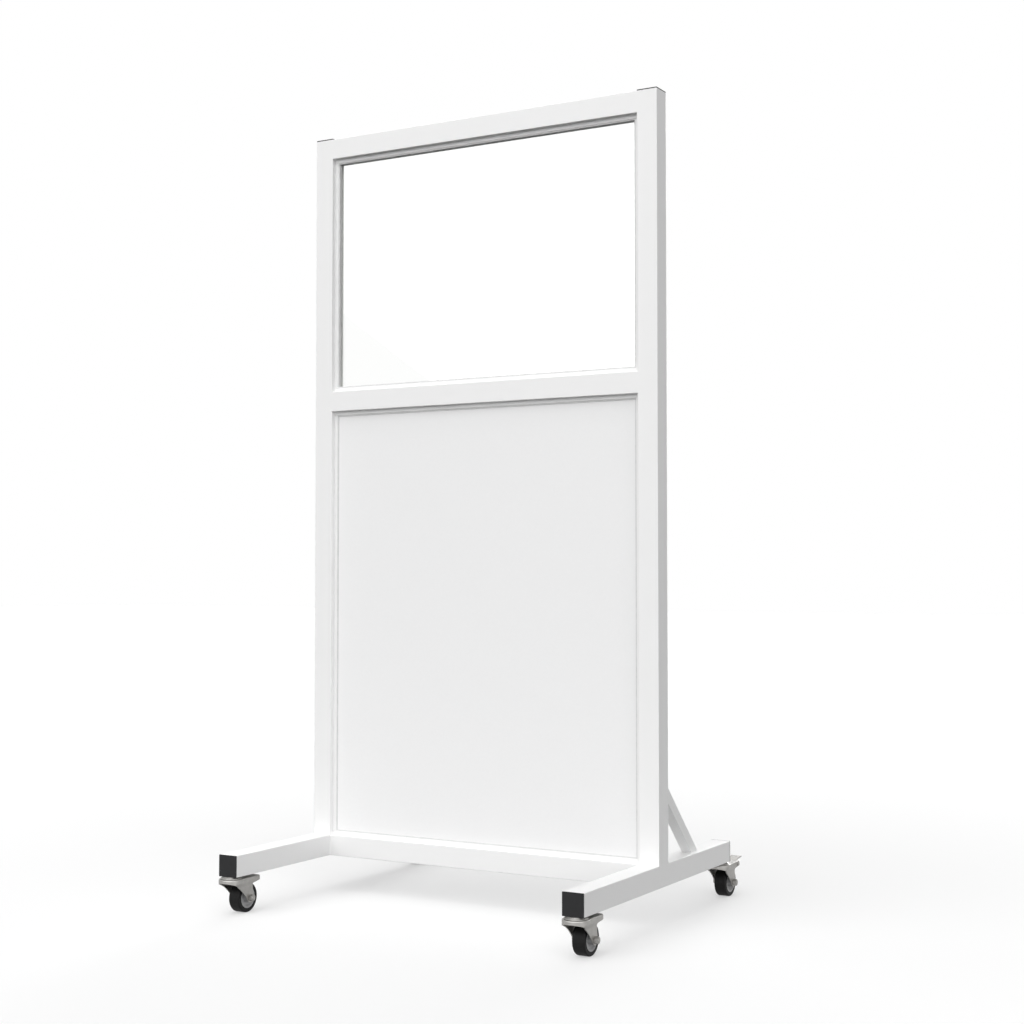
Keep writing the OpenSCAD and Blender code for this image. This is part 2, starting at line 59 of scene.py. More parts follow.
def uneven_finish(name, tints, roughness, patches, grain, relief, **values):
    """A material whose colour and roughness wander in patches, under a fine-grained skin.

    patches and grain hold a noise's scale and detail, and a grain with no detail is pebbled.
    relief holds the grain's strength and depth. Other values go to the shader's own inputs.
    """
    mat = bpy.data.materials.new(name)
    mat.use_nodes = True
    nodes, links = mat.node_tree.nodes, mat.node_tree.links
    shader = set_inputs(nodes["Principled BSDF"], **values)
    place = nodes.new("ShaderNodeTexCoord")
    cloud = set_inputs(nodes.new("ShaderNodeTexNoise"), Scale=patches[0], Detail=patches[1])
    tint = nodes.new("ShaderNodeMix")
    tint.data_type = "RGBA"
    set_inputs(tint, A=(*tints[0], 1), B=(*tints[1], 1))
    sheen = set_inputs(nodes.new("ShaderNodeMapRange"), To_Min=roughness[0], To_Max=roughness[1])
    scale, detail = grain
    if detail is None:
        skin = set_inputs(nodes.new("ShaderNodeTexVoronoi"), Scale=scale)
        height = skin.outputs["Distance"]
    else:
        skin = set_inputs(nodes.new("ShaderNodeTexNoise"), Scale=scale, Detail=detail)
        height = skin.outputs["Fac"]
    bump = set_inputs(nodes.new("ShaderNodeBump"), Strength=relief[0], Distance=relief[1])
    for texture in (cloud, skin):
        links.new(place.outputs["Object"], texture.inputs["Vector"])
    links.new(cloud.outputs["Fac"], tint.inputs["Factor"])
    links.new(tint.outputs["Result"], shader.inputs["Base Color"])
    links.new(cloud.outputs["Fac"], sheen.inputs["Value"])
    links.new(sheen.outputs["Result"], shader.inputs["Roughness"])
    links.new(height, bump.inputs["Height"])
    links.new(bump.outputs["Normal"], shader.inputs["Normal"])
    return mat


def closed_mesh(name, verts, faces):
    """A mesh from points and faces, its doubled points merged and its faces turned outward."""
    mesh = bpy.data.meshes.new(name)
    mesh.from_pydata([tuple(v) for v in verts], [], faces)
    bm = bmesh.new()
    bm.from_mesh(mesh)
    bmesh.ops.remove_doubles(bm, verts=bm.verts, dist=1e-6)
    bmesh.ops.dissolve_degenerate(bm, dist=1e-7, edges=bm.edges)
    bmesh.ops.recalc_face_normals(bm, faces=bm.faces)
    bm.to_mesh(mesh)
    bm.free()
    return mesh


def add_object(name, data):
    """A mesh, lamp or camera put into the scene."""
    added = bpy.data.objects.new(name, data)
    bpy.context.scene.collection.objects.link(added)
    return added


def even_shading(piece):
    """Evens out a piece's shading across its small roundings."""
    piece.modifiers.new("even_shading", "WEIGHTED_NORMAL").keep_sharp = True


def add_piece(name, verts, faces, material, body, node, sharp=35):
    """A mesh piece that takes the place of a CAD node, with edges over sharp degrees kept."""
    mesh = closed_mesh(name, verts, faces)
    mesh.shade_smooth()
    mesh.set_sharp_from_angle(angle=math.radians(sharp))
    mesh.materials.append(material)
    piece = add_object(name, mesh)
    even_shading(piece)
    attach(piece, body)
    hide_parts(node)
    return piece


def rounded_square(half, radius, steps=4):
    """Points round a square with rounded corners, counter-clockwise from its +X side."""
    points = []
    for quarter in range(4):
        x = (half - radius) * (1 if quarter in (0, 3) else -1)
        y = (half - radius) * (1 if quarter in (0, 1) else -1)
        for step in range(steps + 1):
            angle = math.pi / 2 * (quarter + step / steps)
            points.append((x + radius * math.cos(angle), y + radius * math.sin(angle)))
    return points


def tube_faces(count):
    """Faces of a hollow tube from four loops: outer start and end, inner start and end."""
    outer0, outer1, inner0, inner1 = (loop * count for loop in range(4))
    faces = []
    for i in range(count):
        j = (i + 1) % count
        faces += [(outer0 + i, outer0 + j, outer1 + j, outer1 + i),
                  (inner0 + j, inner0 + i, inner1 + i, inner1 + j),
                  (outer0 + j, outer0 + i, inner0 + i, inner0 + j),
                  (outer1 + i, outer1 + j, inner1 + j, inner1 + i)]
    return faces


# Polyester powder: white, with a soft orange-peel skin whose gloss wanders a little
white_powder = uneven_finish(
    "white_powder_coat", ((0.8385, 0.8385, 0.8359), (0.86, 0.86, 0.86)), roughness=(0.36, 0.46),
    patches=(9, 3), grain=(900, 2), relief=(0.12, 0.4 * MM))
tube_wall = 3 * MM
tube_corner, tube_inner_corner = 1.4 * MM, 0.6 * MM


def weld_tube(node, axis, start_weld, end_weld):
    """A tube in the place of its CAD node, run on by its corner's rounding at each weld."""
    low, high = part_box(node)
    across = [i for i in range(3) if i != axis]
    middle = (low + high) / 2
    half = (high[across[0]] - low[across[0]]) / 2
    ends = (low[axis] - start_weld * tube_corner, high[axis] + end_weld * tube_corner)
    verts = []
    for size, radius in ((half, tube_corner), (half - tube_wall, tube_inner_corner)):
        for end in ends:
            for u, v in rounded_square(size, radius):
                point = middle.copy()
                point[axis] = end
                point[across[0]] += u
                point[across[1]] += v
                verts.append(point)
    add_piece(node + "_tube", verts, tube_faces(len(verts) // 4), white_powder, "frame",
              node)


for side in ("left", "right"):
    weld_tube(side + "_post", axis=2, start_weld=1, end_weld=0)
    weld_tube(side + "_leg", axis=1, start_weld=0, end_weld=0)
for rail in ("top_rail", "middle_rail", "bottom_rail"):
    weld_tube(rail, axis=0, start_weld=1, end_weld=1)


# Braces: 1 in square steel tube, mitred at both ends and welded between the back of each
# post and the top of its leg, under the same powder coat.

brace_wall = 2 * MM
brace_corner, brace_inner_corner = 0.9 * MM, 0.4 * MM
for side in ("left", "right"):
    node = side + "_brace"
    low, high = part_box(node)
    width = high.x - low.x
    reach = high.y - low.y - width / math.sqrt(2)   # from the corner to the brace's middle line
    verts = []
    for half, radius in ((width / 2, brace_corner), (width / 2 - brace_wall, brace_inner_corner)):
        for at_post in (True, False):
            for u, v in rounded_square(half, radius):
                away = reach + v * math.sqrt(2)
                x = (low.x + high.x) / 2 + u
                verts.append((x, low.y, low.z + away) if at_post else (x, low.y + away, low.z))
    add_piece(node + "_tube", verts, tube_faces(len(verts) // 4), white_powder, "frame",
              node)


# Tube caps: black moulded plastic plugs with a flat plate over the tube's end, pushed in by
# hand and held by the ribs round their hollow insert.

def moulded_finish(name, colour, roughness, grain, **values):
    """Moulded plastic or rubber, with a fine spark-eroded grain and a slightly uneven sheen."""
    tints = [[share * channel for channel in colour] for share in (0.85, 1.15)]
    return uneven_finish(name, tints, roughness, patches=(60, 4), grain=(grain, 3),
                         relief=(0.25, 0.3 * MM), **values)


def joined(parts):
    """One list of points and faces from several (points, faces, place)."""
    verts, faces = [], []
    for part_verts, part_faces, place in parts:
        base = len(verts)
        verts += [place @ Vector(v) for v in part_verts]
        faces += [tuple(base + i for i in face) for face in part_faces]
    return verts, faces


black_plastic = moulded_finish("black_cap_plastic", (0.010, 0.010, 0.011), (0.36, 0.48), 2500,
                               Specular_IOR_Level=0.25)
cap_plate = 2.5 * MM
plate_edge = 0.2 * MM     # rounding of the plate's outer edge
insert_fit = 0.2 * MM     # between the insert's ribs and the tube

# The insert, in mm: how far in from its ribs, its corner's radius, how far below the plate
cap_insert = ((0, 0.8, 0), (0, 0.8, 2), (0.5, 0.8, 2.6), (0.5, 0.8, 4), (0, 0.8, 4.6),
              (0, 0.8, 6.5), (0.8, 0.6, 12), (2, 0.5, 12), (2, 0.5, 1))


def cap_mesh(half):
    """A cap whose plate ends at z = 0 and whose insert reaches down into the tube."""
    rings = [(half - drop, tube_corner - drop, -height)
             for drop, height in ((plate_edge, 0), (0.3 * plate_edge, 0.3 * plate_edge),
                                  (0, plate_edge), (0, cap_plate))]
    ribs = half - tube_wall - insert_fit
    rings += [(ribs - inward * MM, radius * MM, -cap_plate - depth * MM)
              for inward, radius, depth in cap_insert]
    verts, faces = [], []
    for size, radius, z in rings:
        verts += [(u, v, z) for u, v in rounded_square(size, radius)]
    count = len(verts) // len(rings)
    for ring in range(len(rings) - 1):
        a, b = ring * count, (ring + 1) * count
        faces += [(a + i, a + (i + 1) % count, b + (i + 1) % count, b + i) for i in range(count)]
    faces.append(tuple(range(count)))
    faces.append(tuple(reversed(range(len(verts) - count, len(verts)))))
    return verts, faces


for side in ("left", "right"):
    low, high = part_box(side + "_post_cap")
    top = Matrix.Translation(((low.x + high.x) / 2, (low.y + high.y) / 2, high.z))
    verts, faces = joined([(*cap_mesh((high.x - low.x) / 2), top)])
    add_piece(side + "_post_top_cap", verts, faces, black_plastic, "frame",
              side + "_post_cap")

low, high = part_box("leg_end_caps")
half = (high.z - low.z) / 2
verts, faces = joined([
    (*cap_mesh(half), Matrix.Translation((x, y, low.z + half)) @ Matrix.Rotation(turn, 4, "X"))
    for x in (low.x + half, high.x - half)
    for y, turn in ((low.y, math.pi / 2), (high.y, -math.pi / 2))])
add_piece("leg_tube_caps", verts, faces, black_plastic, "frame", "leg_end_caps")


# Window bead and panel bead: white powder-coated steel bar, tacked inside the front of the
# frame's openings, so that the glass and the panel bear on it. Its arrises are only just
# broken.

def dress(node, material, rounding):
    """Keeps a CAD solid as it is, with its arrises rounded and its own finish."""
    solid = cad[node]
    solid.data.materials.clear()
    solid.data.materials.append(material)
    solid.modifiers.new("joined_corners", "WELD").merge_threshold = 1e-6
    if rounding:
        arris = solid.modifiers.new("rounded_arris", "BEVEL")
        arris.width = rounding
        arris.segments = 2
        arris.limit_method = "ANGLE"
        arris.angle_limit = math.radians(40)
        arris.harden_normals = False
        arris.use_clamp_overlap = True
    even_shading(solid)


for node in ("window_front_bead", "panel_front_bead"):
    dress(node, white_powder, 0.4 * MM)


# Gaskets: light grey extruded rubber, pressed round the glass and along the panel's bead.
# A narrow edge of them shows beside each bead.

grey_rubber = moulded_finish("grey_gasket_rubber", (0.66, 0.66, 0.66), (0.54, 0.66), 1800)
for node in ("window_gasket", "panel_gasket"):
    dress(node, grey_rubber, 0.3 * MM)


# Lead glass: one clear pane of heavy lead-bearing glass with ground edges, held between the
# gaskets.

def clear_glass(name):
    """Clear glass with a faint warm body, which lets lamps through to what is behind it."""
    mat = bpy.data.materials.new(name)
    mat.use_nodes = True
    nodes, links = mat.node_tree.nodes, mat.node_tree.links
    glass = set_inputs(nodes["Principled BSDF"], Base_Color=(0.985, 0.99, 0.982, 1),
                       Transmission_Weight=1, IOR=1.6)
    place = nodes.new("ShaderNodeTexCoord")
    haze = set_inputs(nodes.new("ShaderNodeTexNoise"), Scale=3, Detail=5)
    film = set_inputs(nodes.new("ShaderNodeMapRange"), To_Min=0, To_Max=0.02)
    links.new(place.outputs["Object"], haze.inputs["Vector"])
    links.new(haze.outputs["Fac"], film.inputs["Value"])
    links.new(film.outputs["Result"], glass.inputs["Roughness"])
    passing = set_inputs(nodes.new("ShaderNodeBsdfTransparent"), Color=(0.96, 0.97, 0.955, 1))
    path = nodes.new("ShaderNodeLightPath")
    lamplight = nodes.new("ShaderNodeMath")
    lamplight.operation = "MAXIMUM"
    mix = nodes.new("ShaderNodeMixShader")
    links.new(path.outputs["Is Shadow Ray"], lamplight.inputs[0])
    links.new(path.outputs["Is Diffuse Ray"], lamplight.inputs[1])
    links.new(lamplight.outputs["Value"], mix.inputs["Fac"])
    links.new(glass.outputs["BSDF"], mix.inputs[1])
    links.new(passing.outputs["BSDF"], mix.inputs[2])
    links.new(mix.outputs["Shader"], nodes["Material Output"].inputs["Surface"])
    return mat


dress("lead_glass", clear_glass("clear_lead_glass"), 0.5 * MM)


# Panel: a front and a rear board faced with white laminate, with a rolled lead sheet
# bonded between them. It stands in the frame behind the bead.

def plated_metal(name, dark, light, roughness, scale):
    """Bare or plated metal: cloudy patches, fine drawing marks and an uneven polish."""
    return uneven_finish(name, (dark, light), roughness, patches=(scale, 5),
                         grain=(22 * scale, 2), relief=(0.15, 0.1 * MM), Metallic=1)


# High-pressure laminate: flat white with a barely raised matt texture
laminate = uneven_finish(
    "white_panel_laminate", ((0.835, 0.836, 0.838), (0.86, 0.86, 0.86)), roughness=(0.42, 0.52),
    patches=(140, 3), grain=(700, None), relief=(0.06, 0.3 * MM))
for node in ("front_board", "rear_board"):
    dress(node, laminate, 0.4 * MM)
rolled_lead = plated_metal("rolled_lead", (0.22, 0.23, 0.25), (0.33, 0.34, 0.36), (0.5, 0.7), 40)
dress("lead_sheet", rolled_lead, 0)


# Rear angles: half-inch rolled angle in four lengths behind the glass and behind the panel,
# powder coated white, with a rounded root and toes.

def filleted(corners, steps=4):
    """A closed outline from corners (u, v, radius), each with a radius turned into an arc."""
    points = []
    count = len(corners)
    for i, (u, v, radius) in enumerate(corners):
        here = Vector((u, v))
        if not radius:
            points.append((u, v))
            continue
        before = (Vector(corners[i - 1][:2]) - here).normalized()
        after = (Vector(corners[(i + 1) % count][:2]) - here).normalized()
        turn = before.angle(after)
        reach = radius / math.tan(turn / 2)
        start, end = here + before * reach, here + after * reach
        center = here + (before + after).normalized() * (radius / math.sin(turn / 2))
        first = math.atan2(start.y - center.y, start.x - center.x)
        sweep = math.atan2(end.y - center.y, end.x - center.x) - first
        sweep = (sweep + math.pi) % (2 * math.pi) - math.pi
        for step in range(steps + 1):
            angle = first + sweep * step / steps
            points.append((center.x + radius * math.cos(angle),
                           center.y + radius * math.sin(angle)))
    return points


def prism(outline, low, high):
    """A closed solid whose outline (u, v) runs along w from low to high."""
    count = len(outline)
    verts = [(u, v, low) for u, v in outline] + [(u, v, high) for u, v in outline]
    faces = [(i, (i + 1) % count, count + (i + 1) % count, count + i) for i in range(count)]
    faces += [tuple(reversed(range(count))), tuple(range(count, 2 * count))]
    return verts, faces


X, Y, Z = Vector((1, 0, 0)), Vector((0, 1, 0)), Vector((0, 0, 1))


def axes(origin, u, v, w):
    """A placement whose first three axes are u, v and w."""
    turn = Matrix((u, v, w)).transposed().to_4x4()
    return Matrix.Translation(origin) @ turn


angle_side, angle_t = 12.7 * MM, 3 * MM
edge_r, toe_r, root_r = 0.3 * MM, 1.0 * MM, 1.5 * MM
angle_outline = filleted([(0, 0, edge_r), (angle_side, 0, edge_r), (angle_side, angle_t, toe_r),
                          (angle_t, angle_t, root_r), (angle_t, angle_side, toe_r),
                          (0, angle_side, edge_r)])
joint_gap = 0.2 * MM
for opening in ("window", "panel"):
    low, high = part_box(opening + "_rear_angles")
    sill = low.z + angle_side + joint_gap
    level = prism(angle_outline, 0, high.x - low.x)
    upright = prism(angle_outline, 0, high.z - low.z - 2 * (angle_side + joint_gap))
    verts, faces = joined([
        (*level, axes((low.x, low.y, low.z), Z, Y, X)),
        (*level, axes((low.x, low.y, high.z), -Z, Y, X)),
        (*upright, axes((low.x, low.y, sill), X, Y, Z)),
        (*upright, axes((high.x, low.y, sill), -X, Y, Z))])
    add_piece(opening + "_retaining_angles", verts, faces, white_powder, "frame",
              opening + "_rear_angles")


# Angle screws: zinc-plated self-tapping pan heads with a cross recess, driven through each
# angle into the wall of the tube behind it.

def lathe(profile, segments=32, closed=True):
    """Turns an outline of (radius, height) about the w axis."""
    verts, faces = [], []
    count = len(profile)
    for step in range(segments):
        angle = 2 * math.pi * step / segments
        verts += [(r * math.cos(angle), r * math.sin(angle), h) for r, h in profile]
    for step in range(segments):
        here, there = step * count, (step + 1) % segments * count
        for i in range(count if closed else count - 1):
            j = (i + 1) % count
            faces.append((here + i, there + i, there + j, here + j))
    return verts, faces


def carve(blank, cutter):
    """The blank with the cutter's shape taken out of it, as points and faces."""
    solid = add_object("blank", closed_mesh("blank", *blank))
    tool = add_object("cutter", closed_mesh("cutter", *cutter))
    cut = solid.modifiers.new("cut", "BOOLEAN")
    cut.object = tool
    cut.solver = "EXACT"
    cut.use_self = True
    graph = bpy.context.evaluated_depsgraph_get()
    done = bpy.data.meshes.new_from_object(solid.evaluated_get(graph))
    result = [tuple(v.co) for v in done.vertices], [tuple(f.vertices) for f in done.polygons]
    for piece in (solid, tool):
        bpy.data.objects.remove(piece)
    return result


def middle_spots(count, low, high):
    """The middles of count equal shares of a length."""
    return [low + (high - low) * (i + 0.5) / count for i in range(count)]


zinc = plated_metal("bright_zinc_plate", (0.25, 0.245, 0.235), (0.41, 0.40, 0.385),
                    (0.34, 0.48), 70)
screw_r, head_r, head_h = 2 * MM, 3.5 * MM, 2.2 * MM
screw_shank, thread_pitch, thread_root = 9 * MM, 1.0 * MM, 0.8 * screw_r
point_r, point_h = 0.75 * screw_r, 0.4 * MM
recess_depth = 0.65 * head_h
arm_half, arm_width = 0.62 * head_r, 0.64 * MM

# The pan head, in shares of its radius and its height, from its middle out and down
pan_head = ((0, 0.75), (0.35, 0.75), (0.36, 1), (0.62, 0.96), (0.84, 0.82), (0.96, 0.55),
            (1, 0.25), (0.97, 0))
screw_outline = [(r * head_r, h * head_h) for r, h in pan_head] + [(screw_r, 0)]
for turn in range(int(screw_shank / thread_pitch) - 1):
    start = -0.5 * MM - turn * thread_pitch
    screw_outline += [(thread_root, start), (screw_r, start - 0.35 * thread_pitch),
                      (screw_r, start - 0.5 * thread_pitch),
                      (thread_root, start - 0.85 * thread_pitch)]
screw_outline += [(point_r, point_h - screw_shank), (0, -screw_shank)]
cross_arm = prism([(-arm_half, -arm_width / 2), (arm_half, -arm_width / 2),
                   (arm_half, arm_width / 2), (-arm_half, arm_width / 2)],
                  head_h - recess_depth, 2 * head_h)
cross_recess = joined([(*cross_arm, Matrix.Rotation(turn, 4, "Z")) for turn in (0, math.pi / 2)])
screw = carve(lathe(screw_outline, 24, closed=False), cross_recess)
screw_stop = 0.7     # radians by which each screw stops further round than the one before
for opening, per_width, per_height in (("window", 3, 3), ("panel", 3, 5)):
    low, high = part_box(opening + "_rear_angles")
    y = low.y + (angle_side + angle_t) / 2
    places = []
    for z in middle_spots(per_height, low.z, high.z):
        places += [axes((low.x + angle_t, y, z), Z, Y, X), axes((high.x - angle_t, y, z), Z, Y, -X)]
    for x in middle_spots(per_width, low.x, high.x):
        places += [axes((x, y, low.z + angle_t), X, Y, Z), axes((x, y, high.z - angle_t), X, Y, -Z)]
    verts, faces = joined([(*screw, place @ Matrix.Rotation(screw_stop * i, 4, "Z"))
                           for i, place in enumerate(places)])
    add_piece(opening + "_pan_head_screws", verts, faces, zinc, "frame",
              opening + "_angle_screws")


# Caster stems and their nuts: a threaded stem with a riveted kingpin head below, zinc
# plated, clamped to the leg's lower wall by a hexagon nut inside the tube.

for node in ("caster_stems", "stem_nuts"):
    dress(node, zinc, 0.3 * MM)


# Swivel collars: pressed zinc-plated cups, flared towards the balls that they cover, held
# between the leg and the kingpin.

casters = [(end, side) for end in ("front", "rear") for side in ("left", "right")]
low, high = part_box("swivel_collars")
leg_under, collar_h = high.z, high.z - low.z
kingpins = {}
for end, side in casters:
    fork_low, fork_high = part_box(f"{end}_{side}_fork")
    head_half = (fork_high.x - fork_low.x) / 2
    kingpins[end, side] = Vector((fork_low.x + head_half, fork_low.y + head_half, leg_under))
collar_r, collar_top_r, stem_hole = 26 * MM, 21.5 * MM, 6.05 * MM
collar_rim, collar_shoulder = 1.6 * MM, 0.8 * MM
cup = filleted([(stem_hole, -collar_h, 0), (collar_r, -collar_h, 0.5 * MM),
                (collar_r, collar_rim - collar_h, 0.6 * MM), (collar_top_r, -0.6 * MM, 1.2 * MM),
                (collar_top_r - collar_shoulder, 0, 0.3 * MM), (stem_hole, 0, 0)])
verts, faces = joined([(*lathe(cup, 72), Matrix.Translation(spot)) for spot in kingpins.values()])
add_piece("pressed_swivel_cups", verts, faces, zinc, "frame", "swivel_collars")


# Forks: 2.5 mm steel stamped into a round swivel head with skirts that draw in to two legs
# beside the wheel, zinc plated. The rear ones are cut open behind for the brake pedal.

sheet, fold = 2.5 * MM, 2.5 * MM           # the steel's thickness, and the bend round the top
head_round, kingpin_hole = 30 * MM, 7.05 * MM
fork_top, fork_half, fork_rear, fork_corner = -5.5 * MM, 28 * MM, 76 * MM, 8 * MM
trail, axle_z, eye_r = 42.5 * MM, -55 * MM, 11.5 * MM
eye_end = math.radians(145)                # where the front edge leaves the axle's eye
eye_front = trail + eye_r * math.cos(eye_end)
skirt_low, skirt_front = -14 * MM, -31 * MM
draw_in_z, legs_z, leg_out = -12 * MM, -26 * MM, 23 * MM
notch_y, notch_z = 49 * MM, -21 * MM       # between the skirt and the leg's rear edge
slot_half = 15.5 * MM                      # half the rear opening for the pedal


def front_edge(y):
    """Height at which the fork's front edge curves down from the skirt to the axle's eye."""
    start = (eye_front, axle_z - eye_r * math.sin(eye_end))
    pull, end = (4 * MM, notch_z), (skirt_front, skirt_low)
    near, far = 0, 1
    for _ in range(30):
        t = (near + far) / 2
        if (1 - t) ** 2 * start[0] + 2 * t * (1 - t) * pull[0] + t * t * end[0] > y:
            near = t
        else:
            far = t
    return (1 - t) ** 2 * start[1] + 2 * t * (1 - t) * pull[1] + t * t * end[1]


def fork_side():
    """Columns (x, y, y at the axle, lower edge) from the middle of the rear round to the front.

    The number of the column at the notch comes second.
    """
    corner_steps, eye_steps, edge_steps, head_steps = 8, 20, 16, 20
    skirt = [(x * MM, fork_rear) for x in (0, 5, 10, 15, 15.4, 15.6, 18)]
    for step in range(corner_steps + 1):
        angle = math.pi / 2 * (1 - step / corner_steps)
        skirt.append((fork_half - fork_corner + fork_corner * math.cos(angle),
                      fork_rear - fork_corner + fork_corner * math.sin(angle)))
    skirt += [(fork_half, y * MM) for y in (65, 62, 59, 56, 53, 51, 49)]
    slope = (skirt_low - notch_z) / (fork_rear - notch_y)
    columns = [(x, y, y, notch_z + (y - notch_y) * slope) for x, y in skirt]
    for step in range(eye_steps + 1):
        angle = eye_end * step / eye_steps
        y = trail + eye_r * math.cos(angle)
        share = (y - eye_front) / (trail + eye_r - eye_front)
        columns.append((fork_half, eye_front + share * (notch_y - eye_front), y,
                        axle_z - eye_r * math.sin(angle)))
    head_start = math.acos(fork_half / head_round)
    head_y = head_round * math.sin(head_start)
    front = [(fork_half, head_y + (eye_front - head_y) * (1 - step / edge_steps))
             for step in range(1, edge_steps)]
    for step in range(head_steps + 1):
        angle = head_start - (head_start + math.pi / 2) * step / head_steps
        front.append((head_round * math.cos(angle), head_round * math.sin(angle)))
    return columns + [(x, y, y, front_edge(y)) for x, y in front], len(skirt) - 1


def half_width(z):
    """Half the fork's width at a height: the skirts, then the taper, then the legs."""
    share = min(1, max(0, (draw_in_z - z) / (draw_in_z - legs_z)))
    soft = share * share * (3 - 2 * share) * 0.5 + share * 0.5
    return head_round + (leg_out - head_round) * soft


def fork_mesh(braked):
    """The fork's outer skin, in rings from the kingpin's hole out and down to its lower edge."""
    half_side, notch = fork_side()
    columns = half_side + [(-x, *rest) for x, *rest in reversed(half_side[1:-1])]
    count = len(columns)
    outline = [Vector((x, y)) for x, y, _, _ in columns]
    middle = Vector((0, 20 * MM))
    inward = []
    for i, point in enumerate(outline):
        along = (outline[(i + 1) % count] - outline[i - 1]).normalized()
        across = Vector((along.y, -along.x))
        inward.append(across if across.dot(middle - point) > 0 else -across)
    verts = []
    for share in (0, 0.3, 0.65):
        for point, into in zip(outline, inward):
            spot = (point.normalized() * kingpin_hole).lerp(point + into * fold, share)
            verts.append((spot.x, spot.y, fork_top))
    fold_steps = 4
    for step in range(fold_steps + 1):
        angle = math.pi / 2 * step / fold_steps
        for point, into in zip(outline, inward):
            spot = point + into * fold * (1 - math.sin(angle))
            verts.append((spot.x, spot.y, fork_top - fold * (1 - math.cos(angle))))
    skirt_top, row_h, rows = fork_top - fold, 1.1 * MM, 54
    for row in range(1, rows + 1):
        for x, y, y_low, low in columns:
            if braked and abs(x) < slot_half and y > fork_rear - 1 * MM:
                low = skirt_top
            height = max(skirt_top - row_h * row, low)
            limit = half_width(height)
            down = max(0, (notch_z - height) / (notch_z - axle_z))
            verts.append((max(-limit, min(limit, x)), y + (y_low - y) * min(1, down), height))
    faces = []
    for ring in range(len(verts) // count - 1):
        a, b = ring * count, (ring + 1) * count
        for i in range(count):
            if i in (notch, count - notch - 1) and verts[b + i][2] < notch_z + 1e-6:
                continue     # below the notch, the skirt's end and the leg stand apart
            faces.append((a + i, b + i, b + (i + 1) % count, a + (i + 1) % count))
    return verts, faces


for end, side in casters:
    verts, faces = joined([(*fork_mesh(end == "rear"), Matrix.Translation(kingpins[end, side]))])
    fork = add_piece(f"{end}_{side}_stamped_fork", verts, faces, zinc, f"{end}_{side}_swivel",
                     f"{end}_{side}_fork", sharp=60)
    bm = bmesh.new()
    bm.from_mesh(fork.data)
    top_face = max(bm.faces, key=lambda f: f.calc_center_median().z - 0.01 * abs(f.normal.x))
    if top_face.normal.z < 0:
        bmesh.ops.reverse_faces(bm, faces=bm.faces)
    bm.to_mesh(fork.data)
    bm.free()
    fork.modifiers.clear()
    metal = fork.modifiers.new("sheet_thickness", "SOLIDIFY")
    metal.thickness = sheet
    metal.offset = -1
    metal.use_even_offset = True
    even_shading(fork)


# Swivel balls and hub bushes: bright hardened steel balls in their races, and a plain steel
# sleeve on the axle between the fork's legs.

bright_steel = plated_metal("polished_steel", (0.58, 0.58, 0.59), (0.66, 0.66, 0.67),
                            (0.10, 0.20), 90)
for end, side in casters:
    dress(f"{end}_{side}_swivel_balls", bright_steel, 0)
    dress(f"{end}_{side}_axle_bush", bright_steel, 0.3 * MM)


# Axle bolts and nuts: a zinc-plated hexagon bolt through the fork and the bush, with its nut
# on the right-hand side. The bolt's head is chamfered outside and the nut on both faces.

def chamfered_hex(flats, height, hole=0.0, both=False):
    """A hexagon along w from 0, its corners turned off at the far face, or at both."""
    segments = 48
    turned = flats / 2 * 0.99
    angles = [2 * math.pi * step / segments for step in range(segments)]
    rings = [[], [], [], []]
    for angle in angles:
        r = flats / 2 / math.cos((angle + math.pi / 6) % (math.pi / 3) - math.pi / 6)
        drop = max(0, r - turned) * math.tan(math.radians(30))
        flat = min(r, turned)
        for ring, (radius, z) in zip(rings, ((flat, 0), (r, drop if both else 0),
                                             (r, height - drop), (flat, height))):
            ring.append((radius * math.cos(angle), radius * math.sin(angle), z))
    if hole:
        rings += [[(r * math.cos(angle), r * math.sin(angle), z) for angle in angles]
                  for r, z in ((1.12 * hole, height), (hole, height - 0.12 * hole), (hole, 0))]
        bands = [(i, (i + 1) % len(rings)) for i in range(len(rings))]
        faces = []
    else:
        bands = [(i, i + 1) for i in range(len(rings) - 1)]
        faces = [tuple(reversed(range(segments))), tuple(range(3 * segments, 4 * segments))]
    for a, b in bands:
        faces += [(a * segments + i, a * segments + (i + 1) % segments,
                   b * segments + (i + 1) % segments, b * segments + i) for i in range(segments)]
    return [point for ring in rings for point in ring], faces


axle_r, nut_flats, nut_h, bolt_head_h = 4.75 * MM, 14.3 * MM, 8.3 * MM, 6 * MM
bolt_end = leg_out + nut_h + 1 * MM
bolt_pitch, bolt_root = 1.25 * MM, 0.88 * axle_r
along = leg_out - 1 * MM                   # where the thread starts
shank = [(0, -leg_out), (axle_r, -leg_out), (axle_r, along)]
while along < bolt_end - 1.2 * bolt_pitch:
    shank += [(axle_r, along + 0.1 * bolt_pitch), (bolt_root, along + 0.45 * bolt_pitch),
              (bolt_root, along + 0.6 * bolt_pitch), (axle_r, along + 0.95 * bolt_pitch)]
    along += bolt_pitch
shank += [(0.9 * axle_r, bolt_end - 0.6 * MM), (0.78 * axle_r, bolt_end), (0, bolt_end)]
head_seat = Matrix.Translation((0, 0, -leg_out)) @ Matrix.Rotation(math.pi, 4, "X")
nut_seat = Matrix.Translation((0, 0, leg_out))
axles = {caster: axes(kingpin + Vector((0, trail, axle_z)), Y, Z, X)
         for caster, kingpin in kingpins.items()}
